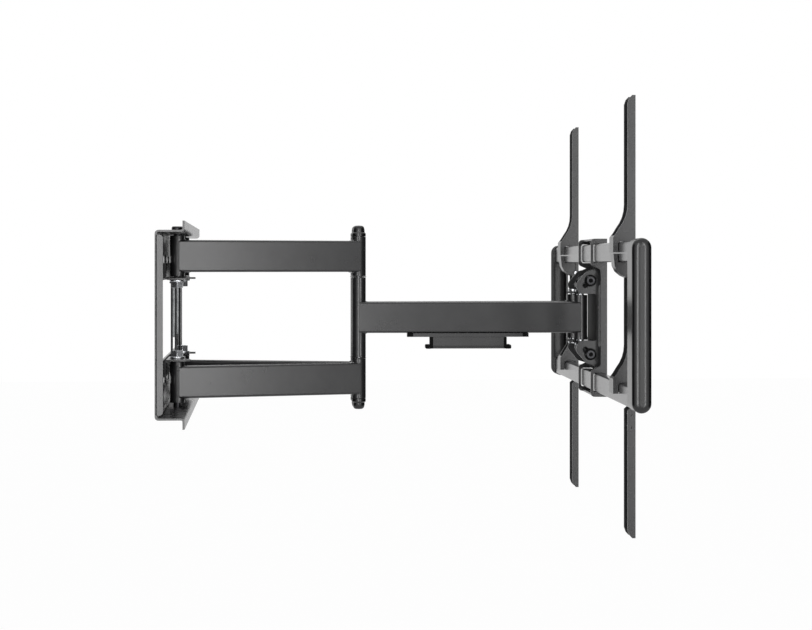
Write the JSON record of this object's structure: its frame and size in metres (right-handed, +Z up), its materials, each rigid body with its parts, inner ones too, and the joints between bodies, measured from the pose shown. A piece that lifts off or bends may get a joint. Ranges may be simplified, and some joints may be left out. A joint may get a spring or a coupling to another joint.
{
  "type": "full motion tv wall mount",
  "caption": "Full motion wall mount for a flat screen: slotted wall plate, folding double arms, swivel and tilt head, two rails and hook-on screen brackets.",
  "frame": {"origin": "on the back face of the wall plate's upper band, midway along it, in the plane of the wall", "axes": "+X from the wall towards the screen, +Z up, +Y away from the viewer of the picture, along the wall plate"},
  "size_m": [0.4947, 0.6425, 0.44],
  "materials": {
    "coat": "satin black powder coat",
    "rail": "smooth black coat",
    "plastic": "semi-gloss black",
    "nylon": "matt black",
    "zinc": "bright zinc",
    "blacksteel": "black oxide"
  },
  "bodies": {
    "wall": {"wall_plate": "coat", "upper_shelf": "coat", "lower_shelf": "coat", "near_strut": "zinc", "far_strut": "zinc", "near_upper_pivot_bolt": "zinc", "near_upper_pivot_nut": "zinc", "near_upper_pivot_washer": "nylon", "near_lower_pivot_bolt": "zinc", "near_lower_pivot_nut": "zinc", "near_lower_pivot_washer": "nylon", "far_upper_pivot_bolt": "zinc", "far_upper_pivot_nut": "zinc", "far_upper_pivot_washer": "nylon", "far_lower_pivot_bolt": "zinc", "far_lower_pivot_nut": "zinc", "far_lower_pivot_washer": "nylon", "near_upper_pivot_pad": "coat", "far_upper_pivot_pad": "coat"},
    "near_inner": {"near_inner_upper_arm": "coat", "near_inner_lower_arm": "coat", "near_elbow_pin": "zinc", "near_upper_elbow_cap": "plastic", "near_upper_elbow_washer": "nylon", "near_lower_elbow_cap": "plastic", "near_lower_elbow_washer": "nylon"},
    "near_outer": {"near_outer_arm": "coat", "near_head_pin": "zinc", "cable_clip_base": "plastic", "cable_clip_cover": "plastic"},
    "far_inner": {"far_inner_upper_arm": "coat", "far_inner_lower_arm": "coat", "far_elbow_pin": "zinc", "far_upper_elbow_cap": "plastic", "far_upper_elbow_washer": "nylon", "far_lower_elbow_cap": "plastic", "far_lower_elbow_washer": "nylon"},
    "far_outer": {"far_outer_arm": "coat", "far_head_pin": "zinc"},
    "swivel": {"swivel_bracket": "coat"},
    "screen_frame": {"tilt_carriage": "coat", "upper_rail": "rail", "lower_rail": "rail", "near_end_cap": "plastic", "far_end_cap": "plastic", "near_upper_tilt_bolt": "blacksteel", "near_upper_tilt_nut": "zinc", "near_lower_tilt_bolt": "blacksteel", "near_lower_tilt_nut": "zinc", "far_upper_tilt_bolt": "blacksteel", "far_upper_tilt_nut": "zinc", "far_lower_tilt_bolt": "blacksteel", "far_lower_tilt_nut": "zinc"},
    "near_bracket": {"near_screen_bracket": "coat", "near_latch_pin": "zinc"},
    "near_latch": {"near_latch": "plastic"},
    "far_bracket": {"far_screen_bracket": "coat", "far_latch_pin": "zinc"},
    "far_latch": {"far_latch": "plastic"}
  },
  "joints": [
    {"name": "fold", "type": "hinge", "parent": "wall", "child": "near_inner", "pos_m": [0.015, -0.064, -0.05657], "axis": [0, 0, -1], "range_deg": [0, 99.9]},
    {"name": "near_elbow_fold", "type": "hinge", "parent": "near_inner", "child": "near_outer", "pos_m": [0.21021, -0.01206, -0.05657], "axis": [0, 0, 1], "range_deg": [-0.3, 186.55]},
    {"name": "head_turn", "type": "hinge", "parent": "near_outer", "child": "swivel", "pos_m": [0.454, -0.022, -0.05657], "axis": [0, 0, 1], "range_deg": [-84.35, 0.3]},
    {"name": "far_wall_fold", "type": "hinge", "parent": "wall", "child": "far_inner", "pos_m": [0.015, 0.064, -0.05657], "axis": [0, 0, 1], "range_deg": [-0.3, 101.42]},
    {"name": "far_elbow_fold", "type": "hinge", "parent": "far_inner", "child": "far_outer", "pos_m": [0.21021, 0.01206, -0.05657], "axis": [0, 0, 1], "range_deg": [-187.04, 0.3]},
    {"name": "tilt", "type": "hinge", "parent": "swivel", "child": "screen_frame", "pos_m": [0.49735, -0.00172, -0.05657], "axis": [0.0401, 0.9992, 0], "range_deg": [-8, 8]},
    {"name": "near_bracket_slide", "type": "slide", "parent": "screen_frame", "child": "near_bracket", "axis": [0.0401, 0.9992, 0], "range_m": [-0.065, 0.145]},
    {"name": "far_bracket_slide", "type": "slide", "parent": "screen_frame", "child": "far_bracket", "axis": [0.0401, 0.9992, 0], "range_m": [-0.145, 0.065]},
    {"name": "near_latch_turn", "type": "hinge", "parent": "near_bracket", "child": "near_latch", "pos_m": [0.47054, -0.21082, -0.01737], "axis": [-0.0401, -0.9992, 0], "range_deg": [0, 40]},
    {"name": "far_latch_turn", "type": "hinge", "parent": "far_bracket", "child": "far_latch", "pos_m": [0.4874, 0.20885, -0.01737], "axis": [-0.0401, -0.9992, 0], "range_deg": [0, 40]}
  ],
  "couplings": [
    {"joint": "near_elbow_fold", "follows": "fold", "ratio": 1.8644},
    {"joint": "head_turn", "follows": "fold", "ratio": -0.84135},
    {"joint": "far_wall_fold", "follows": "fold", "ratio": 1.0122},
    {"joint": "far_elbow_fold", "follows": "fold", "ratio": -1.8693}
  ]
}
